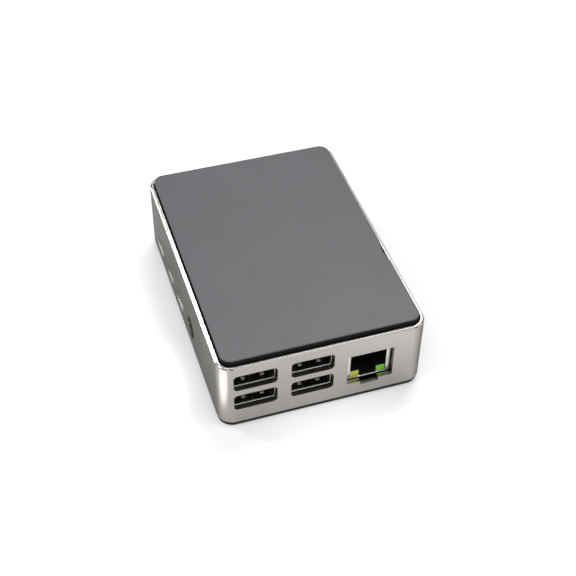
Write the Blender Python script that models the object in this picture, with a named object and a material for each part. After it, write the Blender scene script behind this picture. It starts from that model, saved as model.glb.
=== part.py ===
"""Credit-card-size computer board in a two-part heat-sink case.

An aluminium shell carries the heat away through a post that reaches down to the processor. A dark
lid sits in the shell's rim, a dark base cover closes it from below with four screws, and the board
with its connectors is clamped between the base's stand-offs and the shell's corner posts.

Frame: +Z up, -Y towards the side with the USB and network ports, +X towards the pin header.
The origin is the centre of the footprint on the surface that the case stands on.
Sizes below are in millimetres; MM turns them into metres.
"""
import math

import bmesh
import bpy

MM = 0.001
CORNER_STEPS = 6
ROUND_STEPS = 24
SMOOTH_ANGLE = math.radians(32)
CLEARANCE = 0.3
OVERSHOOT = 1.0  # how far a cutter runs past the surface it opens

# Case shell
CASE_W, CASE_L = 66.4, 93.3
CASE_CORNER = 5.0
CASE_BOTTOM, CASE_TOP = 1.75, 26.15
RIM_CHAMFER, RIM_FLAT = 0.52, 0.76
SIDE_WALL, END_WALL = 1.5, 1.45
CAVITY_CORNER = 3.5
CEILING, RECESS_FLOOR = 22.95, 24.35
POST_R, POST_BORE_R, POST_BORE_TOP = 3.0, 1.45, 15.0
HEAT_POST, HEAT_POST_CORNER = 17.0, 1.5

# Lid
LID_GAP = 0.37
LID_TOP = 27.9
LID_EDGE = 0.35
LID_POCKET_DEPTH, LID_POCKET_MARGIN = 1.6, 1.5
PEG_R, PEG_HOLE_R, PEG_END = 1.6, 1.95, 23.2
PEG_PLACES = [(x, y) for x in (-14.0, 14.0) for y in (-38.0, 38.0)]
NOTCH_LENGTH, NOTCH_DEPTH, NOTCH_Y = 10.4, 0.9, -13.7

# Base cover
BASE_INSET = 0.4
BASE_FLANGE_TOP, BASE_PLATEAU_TOP = 1.45, 2.6
BASE_EDGE = 0.4
STANDOFF_R, STANDOFF_BORE_R = 3.2, 1.5
RIBBON_SLOT_W, RIBBON_SLOT_L = 2.4, 53.0

# Screws
SCREW_HEAD_R, SCREW_HEAD_BOTTOM, SCREW_HEAD_H = 2.6, 0.35, 1.4
SCREW_EDGE, SCREW_TIP = 0.3, 0.4
SCREW_R, SCREW_TOP = 1.15, 13.5
RECESS_L, RECESS_W, RECESS_DEPTH = 2.8, 0.7, 0.8
COUNTERBORE_R, COUNTERBORE_TOP = 2.95, 2.05

# Board: u runs from the card end, v from the video side
BOARD_L, BOARD_W, BOARD_CORNER = 85.0, 56.0, 3.0
BOARD_BOTTOM, BOARD_TOP = 5.2, 6.6
BOARD_SHIFT_X, BOARD_SHIFT_Y = -2.9, 0.3
BOARD_HOLE_R = 1.35
HOLES_UV = [(u, v) for u in (3.5, 61.5) for v in (3.5, 52.5)]
SEAT = BOARD_TOP + CLEARANCE

# Ports in the front wall
USB_V = {"left": 9.0, "middle": 27.0}
FACE_Y = -44.85
USB_W, USB_D, USB_TOP = 13.1, 17.5, 22.55
USB_MOUTH_W, USB_MOUTH_H = 12.5, 5.6
USB_CENTRES_Z = (10.77, 19.39)
USB_HOLE_W, USB_HOLE_H, USB_HOLE_R = 13.64, 6.4, 1.3
USB_BACK_D = 4.7
USB_TONGUE_W, USB_TONGUE_H, USB_TONGUE_L = 11.1, 1.84, 11.0
USB_TONGUE_DROP = 0.55
NET_V = 45.75
NET_W, NET_D, NET_TOP = 16.0, 21.3, 20.0
NET_HOLE_W, NET_HOLE_Z = 14.96, (7.11, 19.39)
NET_NOTCH_W, NET_NOTCH_BOTTOM = 5.9, 5.7
NET_PLUG_W, NET_PLUG_Z, NET_PLUG_D = 11.7, (10.3, 17.8), 15.0
NET_LATCH_W, NET_LATCH_BOTTOM = 5.8, 7.9
NET_LIGHT_W, NET_LIGHT_Z, NET_LIGHT_D, NET_LIGHT_X = 2.8, (7.75, 10.1), 15.0, 4.3
NET_SETBACK = 0.4
SHEET = 0.3

# Ports in the left wall
USBC_U, VIDEO_U, AUDIO_U = 11.2, (26.0, 39.5), 54.0
USBC_W, USBC_H, USBC_D, USBC_OVERHANG = 8.94, 3.16, 7.35, 1.1
USBC_TONGUE_W, USBC_TONGUE_H = 6.7, 0.7
VIDEO_W, VIDEO_H, VIDEO_D, VIDEO_OVERHANG = 6.5, 2.95, 7.6, 1.0
VIDEO_SLANT, VIDEO_TONGUE_W, VIDEO_TONGUE_H = 0.8, 4.2, 0.6
PLUG_L, PLUG_ROOT, TONGUE_SETBACK = 1.8, 1.2, 1.0
AUDIO_W, AUDIO_D, AUDIO_H, AUDIO_OVERHANG = 7.0, 12.5, 5.4, 2.0
AUDIO_BARREL_R, AUDIO_BARREL_L, AUDIO_BORE_R, AUDIO_Z = 2.9, 4.0, 1.75, 9.8
AUDIO_BACK = 1.0
AUDIO_HOLE_R = 3.6
USBC_HOLE = (10.2, 4.2, 2.0)
VIDEO_HOLE = (7.9, 4.0, 1.0)

# Memory card, under the board
CARD_V, CARD_W, CARD_L, CARD_Z = 28.0, 11.0, 15.0, (3.8, 4.55)
CARD_OVERHANG, CARD_CHAMFER, CARD_STEP = 2.3, 1.2, 9.0
SOCKET_W, SOCKET_L, SOCKET_Z, SOCKET_SETBACK = 13.4, 13.6, (3.4, 4.95), 0.2
SOCKET_SLOT_W, SOCKET_SLOT_Z = 11.6, (3.6, 4.75)
CARD_NOTCH_W, CARD_NOTCH_TOP, CARD_NOTCH_Y = 15.0, 5.6, 42.0

# Headers and flat-cable connectors
PITCH, PIN, HEADER_BASE_H, PIN_TOP = 2.54, 0.64, 2.54, 15.1
HEADER_U, HEADER_V = 32.5, 52.5
POWER_HEADER_U, POWER_HEADER_V = 60.3, 46.5
FLAT_PLACES = {"camera": (46.5, 11.5), "display": (4.2, 28.0)}
FLAT_W, FLAT_D, FLAT_H = 22.0, 5.0, 4.2
FLAT_SLOT_W, FLAT_SLOT_Y, FLAT_SLOT_DEPTH = 17.0, (-1.9, -0.7), 3.4
LATCH_Y = 0.9
LATCH_BAR_W, LATCH_BAR_D, LATCH_BAR_H = 21.0, 2.0, 1.2
LATCH_TONGUE_W, LATCH_TONGUE_D, LATCH_TONGUE_L = 16.0, 0.8, 2.4


def clear_scene():
    for obj in list(bpy.data.objects):
        bpy.data.objects.remove(obj, do_unlink=True)


def material(name, colour, roughness, metallic=0.0):
    mat = bpy.data.materials.new(name)
    mat.use_nodes = True
    shader = mat.node_tree.nodes["Principled BSDF"]
    shader.inputs["Base Color"].default_value = (*colour, 1.0)
    shader.inputs["Roughness"].default_value = roughness
    shader.inputs["Metallic"].default_value = metallic
    return mat


# Outlines: lists of (x, y) points, anticlockwise

def rectangle(width, height, centre=(0.0, 0.0)):
    cx, cy = centre
    return [(cx + sx * width / 2, cy + sy * height / 2)
            for sx, sy in ((-1, -1), (1, -1), (1, 1), (-1, 1))]


def rounded(width, height, radius, centre=(0.0, 0.0), steps=CORNER_STEPS):
    """A rectangle with round corners."""
    points = []
    for quarter, (sx, sy) in enumerate(((1, 1), (-1, 1), (-1, -1), (1, -1))):
        cx = centre[0] + sx * (width / 2 - radius)
        cy = centre[1] + sy * (height / 2 - radius)
        for step in range(steps + 1):
            angle = math.pi / 2 * (quarter + step / steps)
            points.append((cx + radius * math.cos(angle), cy + radius * math.sin(angle)))
    return points


def circle(radius, centre=(0.0, 0.0), steps=ROUND_STEPS):
    turn = 2 * math.pi / steps
    return [(centre[0] + radius * math.cos(i * turn), centre[1] + radius * math.sin(i * turn))
            for i in range(steps)]


# Solids: closed meshes made from stacked outlines

def loft(levels, along="Z"):
    """Join outlines with equal numbers of points, each at its height, and cap both ends.

    along is the axis that the heights run on. The outline's own axes are X and Y for "Z",
    X and Z for "Y", and Y and Z for "X".
    """
    place = {"Z": lambda a, b, h: (a, b, h), "Y": lambda a, b, h: (a, h, b),
             "X": lambda a, b, h: (h, a, b)}[along]
    bm = bmesh.new()
    loops = [[bm.verts.new([MM * c for c in place(a, b, height)]) for a, b in outline]
             for outline, height in levels]
    for low, high in zip(loops, loops[1:]):
        for i in range(len(low)):
            j = (i + 1) % len(low)
            bm.faces.new((low[i], low[j], high[j], high[i]))
    bm.faces.new(loops[0])
    bm.faces.new(loops[-1])
    bmesh.ops.recalc_face_normals(bm, faces=bm.faces)
    mesh = bpy.data.meshes.new("solid")
    bm.to_mesh(mesh)
    bm.free()
    obj = bpy.data.objects.new("solid", mesh)
    bpy.context.scene.collection.objects.link(obj)
    return obj


def prism(outline, start, end, along="Z"):
    return loft([(outline, start), (outline, end)], along)


def box(x, y, z):
    """A block between the given (low, high) pairs."""
    outline = rectangle(x[1] - x[0], y[1] - y[0], ((x[0] + x[1]) / 2, (y[0] + y[1]) / 2))
    return prism(outline, z[0], z[1])


def centred_box(width, y, z, x=0.0):
    return box((x - width / 2, x + width / 2), y, z)


def boolean(body, tools, operation):
    """Add or cut the tools one after the other, and keep the result as the body's own mesh."""
    for tool in tools:
        step = body.modifiers.new(operation, "BOOLEAN")
        step.object = tool
        step.operation = operation
        step.solver = "EXACT"
    view = bpy.context.evaluated_depsgraph_get()
    mesh = bpy.data.meshes.new_from_object(body.evaluated_get(view))
    body.modifiers.clear()
    body.data = mesh
    for tool in tools:
        bpy.data.objects.remove(tool, do_unlink=True)
    return body


def join(body, *tools):
    return boolean(body, tools, "UNION")


def cut(body, *tools):
    return boolean(body, tools, "DIFFERENCE")


def finish(obj, name, mat, at=(0.0, 0.0, 0.0)):
    """Name a solid, give it its material and put it in its place."""
    obj.name = name
    obj.data.name = name
    obj.data.materials.clear()
    obj.data.materials.append(mat)
    obj.data.shade_smooth()
    obj.data.set_sharp_from_angle(angle=SMOOTH_ANGLE)
    obj.location = [MM * c for c in at]
    return obj


def on_board(u, v):
    """Case x and y of a place on the board."""
    return v - BOARD_W / 2 + BOARD_SHIFT_X, BOARD_L / 2 - u + BOARD_SHIFT_Y


# Case

def case_outline(inset):
    return rounded(CASE_W - 2 * inset, CASE_L - 2 * inset, CASE_CORNER - inset)


def port_cutters():
    """Openings in the front, left and back walls."""
    front = (-CASE_L / 2 - OVERSHOOT, -CASE_L / 2 + END_WALL + OVERSHOOT)
    left = (-CASE_W / 2 - OVERSHOOT, -CASE_W / 2 + SIDE_WALL + OVERSHOOT)
    cutters = []
    for v in USB_V.values():
        for z in USB_CENTRES_Z:
            hole = rounded(USB_HOLE_W, USB_HOLE_H, USB_HOLE_R, (on_board(0, v)[0], z), 4)
            cutters.append(prism(hole, *front, along="Y"))
    net_x = on_board(0, NET_V)[0]
    cutters.append(centred_box(NET_HOLE_W, front, NET_HOLE_Z, net_x))
    cutters.append(centred_box(NET_NOTCH_W, front, (NET_NOTCH_BOTTOM, NET_HOLE_Z[0] + OVERSHOOT), net_x))
    usbc = (on_board(USBC_U, 0)[1], SEAT + USBC_H / 2)
    cutters.append(prism(rounded(*USBC_HOLE, usbc), *left, along="X"))
    for u in VIDEO_U:
        centre = (on_board(u, 0)[1], SEAT + VIDEO_H / 2)
        cutters.append(prism(rounded(*VIDEO_HOLE, centre, 4), *left, along="X"))
    centre = (on_board(AUDIO_U, 0)[1], AUDIO_Z)
    cutters.append(prism(circle(AUDIO_HOLE_R, centre), *left, along="X"))
    back = (CASE_L / 2 - END_WALL - OVERSHOOT, CASE_L / 2 + OVERSHOOT)
    cutters.append(centred_box(CARD_NOTCH_W, back, (CASE_BOTTOM - OVERSHOOT, CARD_NOTCH_TOP),
                               on_board(0, CARD_V)[0]))
    return cutters


def case_body(mat):
    cavity = rounded(CASE_W - 2 * SIDE_WALL, CASE_L - 2 * END_WALL, CAVITY_CORNER)
    rim_inner = case_outline(RIM_CHAMFER + RIM_FLAT)
    body = loft([(cavity, CEILING), (cavity, CASE_BOTTOM), (case_outline(0), CASE_BOTTOM),
                 (case_outline(0), CASE_TOP - RIM_CHAMFER), (case_outline(RIM_CHAMFER), CASE_TOP),
                 (rim_inner, CASE_TOP), (rim_inner, RECESS_FLOOR)])
    root = (CEILING + RECESS_FLOOR) / 2
    processor = on_board(*CHIPS["processor"][:2])
    heat_post = prism(rounded(HEAT_POST, HEAT_POST, HEAT_POST_CORNER, processor, 3),
                      PAD_BOTTOM + PAD_H + CLEARANCE, root)
    posts = [prism(circle(POST_R, on_board(u, v)), SEAT, root) for u, v in HOLES_UV]
    join(body, heat_post, *posts)
    bores = [prism(circle(POST_BORE_R, on_board(u, v)), SEAT - OVERSHOOT, POST_BORE_TOP)
             for u, v in HOLES_UV]
    peg_holes = [prism(circle(PEG_HOLE_R, place), CEILING - OVERSHOOT, RECESS_FLOOR + OVERSHOOT)
                 for place in PEG_PLACES]
    cut(body, *bores, *peg_holes, *port_cutters())
    return finish(body, "case_body", mat)


def lid(mat):
    """A tray turned upside down, with four pegs, and a pry notch in its right edge."""
    inset = RIM_CHAMFER + RIM_FLAT + LID_GAP
    bottom = RECESS_FLOOR + CLEARANCE - LID_TOP
    roof = bottom + LID_POCKET_DEPTH
    pocket = case_outline(inset + LID_POCKET_MARGIN)
    body = loft([(pocket, roof), (pocket, bottom), (case_outline(inset), bottom),
                 (case_outline(inset), -LID_EDGE), (case_outline(inset + LID_EDGE), 0.0)])
    pegs = [prism(circle(PEG_R, place), PEG_END - LID_TOP, roof / 2) for place in PEG_PLACES]
    join(body, *pegs)
    notch_r = (NOTCH_LENGTH ** 2 / 4 + NOTCH_DEPTH ** 2) / (2 * NOTCH_DEPTH)
    notch_x = CASE_W / 2 - inset - NOTCH_DEPTH + notch_r
    cut(body, prism(circle(notch_r, (notch_x, NOTCH_Y), 96), bottom - OVERSHOOT, OVERSHOOT))
    return finish(body, "lid", mat, (0, 0, LID_TOP))


def base_cover(mat):
    plateau = rounded(CASE_W - 2 * (SIDE_WALL + CLEARANCE), CASE_L - 2 * (END_WALL + CLEARANCE),
                      CAVITY_CORNER - CLEARANCE)
    body = loft([(case_outline(BASE_INSET + BASE_EDGE), 0), (case_outline(BASE_INSET), BASE_EDGE),
                 (case_outline(BASE_INSET), BASE_FLANGE_TOP), (plateau, BASE_FLANGE_TOP),
                 (plateau, BASE_PLATEAU_TOP)])
    standoffs = [prism(circle(STANDOFF_R, on_board(u, v)), BASE_FLANGE_TOP,
                       BOARD_BOTTOM - CLEARANCE) for u, v in HOLES_UV]
    join(body, *standoffs)
    bores = [prism(circle(STANDOFF_BORE_R, on_board(u, v)), -OVERSHOOT, BOARD_BOTTOM)
             for u, v in HOLES_UV]
    counterbores = [prism(circle(COUNTERBORE_R, on_board(u, v)), -OVERSHOOT, COUNTERBORE_TOP)
                    for u, v in HOLES_UV]
    card_notch = centred_box(CARD_NOTCH_W, (CARD_NOTCH_Y, CASE_L), (-OVERSHOOT, BOARD_BOTTOM),
                             on_board(0, CARD_V)[0])
    slot_x = (on_board(0, BOARD_W)[0] + CASE_W / 2 - SIDE_WALL) / 2
    ribbon = rounded(RIBBON_SLOT_W, RIBBON_SLOT_L, RIBBON_SLOT_W / 2 - 0.01,
                     (slot_x, on_board(HEADER_U, 0)[1]))
    cut(body, *bores, *counterbores, card_notch, prism(ribbon, -OVERSHOOT, BOARD_BOTTOM))
    return finish(body, "base_cover", mat)


def case_screws(mat):
    """Pan-head screws from below, each with a crossed recess in its head."""
    head, shank, length = circle(SCREW_HEAD_R), circle(SCREW_R), SCREW_TOP - SCREW_HEAD_BOTTOM
    depth = (-OVERSHOOT, RECESS_DEPTH)
    for (u, v), place in zip(HOLES_UV, ("back_left", "back_right", "front_left", "front_right")):
        screw = loft([(circle(SCREW_HEAD_R - SCREW_EDGE), 0), (head, SCREW_EDGE), (head, SCREW_HEAD_H),
                      (shank, SCREW_HEAD_H), (shank, length - SCREW_TIP),
                      (circle(SCREW_R - SCREW_TIP), length)])
        cross = join(centred_box(RECESS_L, (-RECESS_W / 2, RECESS_W / 2), depth),
                     centred_box(RECESS_W, (-RECESS_L / 2, RECESS_L / 2), depth))
        cut(screw, cross)
        finish(screw, "case_screw_" + place, mat, (*on_board(u, v), SCREW_HEAD_BOTTOM))


# Board and the chips on it

def main_board(mat):
    board = prism(rounded(BOARD_W, BOARD_L, BOARD_CORNER), 0, BOARD_TOP - BOARD_BOTTOM)
    holes = [prism(circle(BOARD_HOLE_R, (v - BOARD_W / 2, BOARD_L / 2 - u)), -OVERSHOOT, BOARD_TOP)
             for u, v in HOLES_UV]
    cut(board, *holes)
    return finish(board, "main_board", mat, (BOARD_SHIFT_X, BOARD_SHIFT_Y, BOARD_BOTTOM))


# name: (u, v, size along X, size along Y, height)
CHIPS = {
    "processor": (29.25, 32.5, 15.0, 15.0, 2.4),
    "memory_chip": (44.5, 32.5, 12.4, 10.0, 1.0),
    "usb_controller": (57.5, 28.0, 9.0, 9.0, 0.9),
    "network_controller": (57.5, 39.0, 7.0, 7.0, 0.9),
    "power_chip": (13.5, 14.5, 5.0, 5.0, 0.8),
    "wireless_shield": (13.6, 43.0, 9.4, 12.4, 1.6),
    "inductor_1": (7.5, 12.5, 3.0, 3.0, 1.8),
    "inductor_2": (19.5, 12.5, 3.0, 3.0, 1.8),
    "inductor_3": (19.5, 17.0, 3.0, 3.0, 1.8),
    "crystal": (38.5, 20.5, 3.2, 2.5, 0.8),
    "power_light": (2.2, 8.5, 1.6, 0.8, 0.7),
    "activity_light": (2.2, 11.2, 1.6, 0.8, 0.7),
}
CHIP_EDGE = 0.3
PAD_SIZE, PAD_CORNER, PAD_H = 14.4, 0.6, 0.7
PAD_BOTTOM = SEAT + CHIPS["processor"][4] + CLEARANCE


def chips(materials):
    for name, (u, v, size_x, size_y, height) in CHIPS.items():
        edge = min(CHIP_EDGE, size_y / 4)
        chip = loft([(rounded(size_x, size_y, edge, steps=2), 0),
                     (rounded(size_x, size_y, edge, steps=2), height - edge / 2),
                     (rounded(size_x - edge, size_y - edge, edge / 2, steps=2), height)])
        finish(chip, name, materials[name], (*on_board(u, v), SEAT))
    pad = prism(rounded(PAD_SIZE, PAD_SIZE, PAD_CORNER, steps=2), 0, PAD_H)
    finish(pad, "thermal_pad", materials["thermal_pad"],
           (*on_board(*CHIPS["processor"][:2]), PAD_BOTTOM))


# Front connectors; each one's own y is 0 at its face and grows inwards

def usb_pair(place, v, metal, plastic):
    """Two stacked ports: a folded shell, and a block with a tongue in each port."""
    low, high = SEAT, USB_TOP
    shell = centred_box(USB_W, (0, USB_D), (low, high))
    mouths = [centred_box(USB_MOUTH_W, (-OVERSHOOT, USB_D - SHEET),
                          (z - USB_MOUTH_H / 2, z + USB_MOUTH_H / 2)) for z in USB_CENTRES_Z]
    room_z = (USB_CENTRES_Z[0] - USB_MOUTH_H / 2, USB_CENTRES_Z[1] + USB_MOUTH_H / 2)
    room_y = (USB_D - USB_BACK_D, USB_D - SHEET)
    cut(shell, *mouths, centred_box(USB_MOUTH_W, room_y, room_z))
    at = (on_board(0, v)[0], FACE_Y, 0)
    finish(shell, "usb_shell_" + place, metal, at)
    block_y = (room_y[0] + CLEARANCE, room_y[1] - CLEARANCE)
    block = centred_box(USB_MOUTH_W - 2 * CLEARANCE, block_y,
                        (room_z[0] + CLEARANCE, room_z[1] - CLEARANCE))
    tongues = []
    for z in USB_CENTRES_Z:
        top = z + USB_MOUTH_H / 2 - USB_TONGUE_DROP
        tongues.append(centred_box(USB_TONGUE_W, (block_y[0] - USB_TONGUE_L, block_y[0] + OVERSHOOT),
                                   (top - USB_TONGUE_H, top)))
    join(block, *tongues)
    finish(block, "usb_tongues_" + place, plastic, at)


def network_jack(metal, plastic, yellow, green):
    """A shielded jack with its latch channel at the bottom and a light beside it on each side."""
    at = (on_board(0, NET_V)[0], FACE_Y, 0)
    inner_w = NET_W - 2 * SHEET
    shell = centred_box(NET_W, (0, NET_D), (SEAT, NET_TOP))
    cut(shell, centred_box(inner_w, (-OVERSHOOT, NET_D - SHEET), (SEAT + SHEET, NET_TOP - SHEET)))
    finish(shell, "network_shell", metal, at)

    block = centred_box(inner_w - 2 * CLEARANCE, (NET_SETBACK, NET_D - SHEET - CLEARANCE),
                        (SEAT + SHEET + CLEARANCE, NET_TOP - SHEET - CLEARANCE))
    cuts = [centred_box(NET_PLUG_W, (-OVERSHOOT, NET_PLUG_D), NET_PLUG_Z),
            centred_box(NET_LATCH_W, (-OVERSHOOT, NET_PLUG_D),
                        (NET_LATCH_BOTTOM, NET_PLUG_Z[0] + OVERSHOOT))]
    for side in (-1, 1):
        pocket_z = (NET_LIGHT_Z[0] - CLEARANCE, NET_LIGHT_Z[1] + CLEARANCE)
        pocket_end = NET_SETBACK + NET_LIGHT_D + CLEARANCE
        cuts.append(centred_box(NET_LIGHT_W + 2 * CLEARANCE, (-OVERSHOOT, pocket_end),
                                pocket_z, side * NET_LIGHT_X))
    cut(block, *cuts)
    finish(block, "network_insert", plastic, at)
    for side, name, mat in ((-1, "network_light_left", yellow), (1, "network_light_right", green)):
        light = centred_box(NET_LIGHT_W, (0, NET_LIGHT_D), (0, NET_LIGHT_Z[1] - NET_LIGHT_Z[0]))
        light_x = at[0] + side * NET_LIGHT_X
        finish(light, name, mat, (light_x, FACE_Y + NET_SETBACK, NET_LIGHT_Z[0]))


# Left connectors; each one's own x is 0 at its face and grows inwards

def usbc_outline(inset):
    """The port's outline: the short ends are nearly half circles."""
    width, height = USBC_W - 2 * inset, USBC_H - 2 * inset
    return rounded(width, height, height / 2 - 0.05)


def usbc_port(metal, plastic):
    at = (on_board(0, 0)[0] - USBC_OVERHANG, on_board(USBC_U, 0)[1], SEAT + USBC_H / 2)
    shell = prism(usbc_outline(0), 0, USBC_D, "X")
    cut(shell, prism(usbc_outline(SHEET), -OVERSHOOT, USBC_D - SHEET, "X"))
    finish(shell, "usbc_shell", metal, at)
    plug = prism(usbc_outline(SHEET + CLEARANCE), USBC_D - PLUG_L, USBC_D - SHEET - CLEARANCE, "X")
    join(plug, prism(rectangle(USBC_TONGUE_W, USBC_TONGUE_H), TONGUE_SETBACK, USBC_D - PLUG_ROOT, "X"))
    finish(plug, "usbc_tongue", plastic, at)


def video_outline(inset):
    """The port's outline: a rectangle whose lower corners are cut off at a slant."""
    w, h, slant = VIDEO_W / 2 - inset, VIDEO_H / 2 - inset, VIDEO_SLANT
    return [(-w + slant, -h), (w - slant, -h), (w, -h + slant), (w, h), (-w, h), (-w, -h + slant)]


def video_ports(metal, plastic):
    for number, u in enumerate(VIDEO_U, start=1):
        at = (on_board(0, 0)[0] - VIDEO_OVERHANG, on_board(u, 0)[1], SEAT + VIDEO_H / 2)
        shell = prism(video_outline(0), 0, VIDEO_D, "X")
        cut(shell, prism(video_outline(SHEET), -OVERSHOOT, VIDEO_D - SHEET, "X"))
        finish(shell, "video_shell_%d" % number, metal, at)
        plug = prism(video_outline(SHEET + CLEARANCE),
                     VIDEO_D - PLUG_L, VIDEO_D - SHEET - CLEARANCE, "X")
        join(plug, prism(rectangle(VIDEO_TONGUE_W, VIDEO_TONGUE_H),
                         TONGUE_SETBACK, VIDEO_D - PLUG_ROOT, "X"))
        finish(plug, "video_tongue_%d" % number, plastic, at)


def audio_jack(plastic):
    at = (on_board(0, 0)[0] - AUDIO_OVERHANG, on_board(AUDIO_U, 0)[1], AUDIO_Z)
    depth = AUDIO_D + AUDIO_OVERHANG
    body = box((AUDIO_OVERHANG + CLEARANCE, depth), (-AUDIO_W / 2, AUDIO_W / 2),
               (SEAT - AUDIO_Z, SEAT - AUDIO_Z + AUDIO_H))
    join(body, prism(circle(AUDIO_BARREL_R), 0, AUDIO_BARREL_L, "X"))
    cut(body, prism(circle(AUDIO_BORE_R), -OVERSHOOT, depth - AUDIO_BACK, "X"))
    finish(body, "audio_jack", plastic, at)


# Headers, flat-cable connectors and the memory card

def pin_header(name, columns, rows, u, v, mat):
    """A block with square pins; columns run along Y."""
    body = centred_box(rows * PITCH, (-columns * PITCH / 2, columns * PITCH / 2), (0, HEADER_BASE_H))
    pins = []
    for row in range(rows):
        for column in range(columns):
            x = (row - (rows - 1) / 2) * PITCH
            y = (column - (columns - 1) / 2) * PITCH
            pins.append(box((x - PIN / 2, x + PIN / 2), (y - PIN / 2, y + PIN / 2),
                            (HEADER_BASE_H / 2, PIN_TOP - SEAT)))
    join(body, *pins)
    finish(body, name, mat, (*on_board(u, v), SEAT))


def flat_cable_connector(name, u, v, light, dark):
    """A slotted block, and the latch bar that lifts to free the flat cable."""
    body = centred_box(FLAT_W, (-FLAT_D / 2, FLAT_D / 2), (0, FLAT_H))
    cable_slot = centred_box(FLAT_SLOT_W, FLAT_SLOT_Y, (FLAT_H - FLAT_SLOT_DEPTH, FLAT_H + OVERSHOOT))
    half_groove = LATCH_TONGUE_D / 2 + CLEARANCE
    groove = centred_box(LATCH_TONGUE_W + 2 * CLEARANCE, (LATCH_Y - half_groove, LATCH_Y + half_groove),
                         (FLAT_H - LATCH_TONGUE_L - CLEARANCE, FLAT_H + OVERSHOOT))
    cut(body, cable_slot, groove)
    x, y = on_board(u, v)
    finish(body, name + "_connector", light, (x, y, SEAT))
    bar = centred_box(LATCH_BAR_W, (-LATCH_BAR_D / 2, LATCH_BAR_D / 2), (0, LATCH_BAR_H))
    join(bar, centred_box(LATCH_TONGUE_W, (-LATCH_TONGUE_D / 2, LATCH_TONGUE_D / 2),
                          (-LATCH_TONGUE_L - CLEARANCE, LATCH_BAR_H / 2)))
    finish(bar, name + "_latch", dark, (x, y + LATCH_Y, SEAT + FLAT_H + CLEARANCE))


def memory_card(metal, dark):
    x, edge_y = on_board(0, CARD_V)
    inner_end = edge_y + CARD_OVERHANG - CARD_L
    mouth_y = edge_y - SOCKET_SETBACK
    socket = centred_box(SOCKET_W, (mouth_y - SOCKET_L, mouth_y), SOCKET_Z, x)
    cut(socket, centred_box(SOCKET_SLOT_W, (inner_end - CLEARANCE, edge_y + OVERSHOOT),
                            SOCKET_SLOT_Z, x))
    finish(socket, "card_socket", metal)
    w, narrow = CARD_W / 2, CARD_W / 2 - CARD_CHAMFER
    outline = [(-w, 0), (w, 0), (w, -CARD_STEP), (narrow, -CARD_STEP - CARD_CHAMFER),
               (narrow, -CARD_L), (-w, -CARD_L)]
    card = prism(outline, 0, CARD_Z[1] - CARD_Z[0])
    finish(card, "memory_card", dark, (x, inner_end + CARD_L, CARD_Z[0]))


def build():
    clear_scene()
    aluminium = material("bead_blasted_aluminium", (0.62, 0.60, 0.57), 0.38, 1.0)
    soft_black = material("soft_touch_black", (0.028, 0.028, 0.030), 0.55)
    base_black = material("base_black", (0.020, 0.020, 0.021), 0.6)
    screw_black = material("blackened_steel", (0.06, 0.06, 0.065), 0.4, 1.0)
    laminate = material("green_laminate", (0.01, 0.13, 0.05), 0.4)
    tin = material("tinned_steel", (0.62, 0.62, 0.60), 0.3, 1.0)
    black_plastic = material("black_plastic", (0.012, 0.012, 0.013), 0.4)
    cream_plastic = material("cream_plastic", (0.62, 0.58, 0.48), 0.5)
    chip_black = material("chip_black", (0.018, 0.018, 0.019), 0.45)
    ferrite = material("ferrite_grey", (0.09, 0.09, 0.09), 0.6)
    pad_grey = material("pad_grey", (0.25, 0.27, 0.32), 0.8)
    yellow = material("yellow_light", (0.78, 0.60, 0.03), 0.3)
    green = material("green_light", (0.18, 0.55, 0.05), 0.3)
    red = material("red_light", (0.7, 0.04, 0.03), 0.3)
    card_black = material("card_black", (0.015, 0.015, 0.016), 0.5)

    case_body(aluminium)
    lid(soft_black)
    base_cover(base_black)
    case_screws(screw_black)
    main_board(laminate)
    looks = dict.fromkeys(CHIPS, chip_black)
    looks.update(processor=tin, wireless_shield=tin, crystal=tin, thermal_pad=pad_grey,
                 power_light=red, activity_light=green,
                 inductor_1=ferrite, inductor_2=ferrite, inductor_3=ferrite)
    chips(looks)
    for place, v in USB_V.items():
        usb_pair(place, v, tin, black_plastic)
    network_jack(tin, black_plastic, yellow, green)
    usbc_port(tin, black_plastic)
    video_ports(tin, black_plastic)
    audio_jack(black_plastic)
    pin_header("pin_header", 20, 2, HEADER_U, HEADER_V, black_plastic)
    pin_header("power_header", 2, 2, POWER_HEADER_U, POWER_HEADER_V, black_plastic)
    for name, (u, v) in FLAT_PLACES.items():
        flat_cable_connector(name, u, v, cream_plastic, chip_black)
    memory_card(tin, card_black)


build()
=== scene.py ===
"""Looks for the small computer in its heat-sink case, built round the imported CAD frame.

Shapes are worked out in millimetres in the CAD's own frame; MM turns them into metres.
"""

import math

import bmesh
import bpy
from mathutils import Matrix, Vector

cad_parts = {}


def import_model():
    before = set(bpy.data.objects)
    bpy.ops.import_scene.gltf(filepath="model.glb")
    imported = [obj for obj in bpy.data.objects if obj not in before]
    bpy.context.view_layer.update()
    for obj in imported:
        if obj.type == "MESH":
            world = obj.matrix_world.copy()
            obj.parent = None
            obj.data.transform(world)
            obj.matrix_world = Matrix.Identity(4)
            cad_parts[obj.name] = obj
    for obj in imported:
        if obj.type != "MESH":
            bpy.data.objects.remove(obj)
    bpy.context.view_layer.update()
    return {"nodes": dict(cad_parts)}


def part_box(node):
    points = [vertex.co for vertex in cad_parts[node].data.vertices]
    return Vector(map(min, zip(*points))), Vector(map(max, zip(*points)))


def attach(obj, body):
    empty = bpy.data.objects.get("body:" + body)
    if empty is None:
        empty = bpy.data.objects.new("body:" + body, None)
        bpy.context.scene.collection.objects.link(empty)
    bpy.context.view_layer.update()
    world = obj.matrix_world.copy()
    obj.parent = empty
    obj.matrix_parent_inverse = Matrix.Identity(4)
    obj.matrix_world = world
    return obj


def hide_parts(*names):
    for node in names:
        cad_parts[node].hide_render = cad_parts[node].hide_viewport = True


MM = 0.001
SIDES = (-1, 1)
CUT_PAST = 1.0  # how far a cutter reaches past what it cuts
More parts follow.
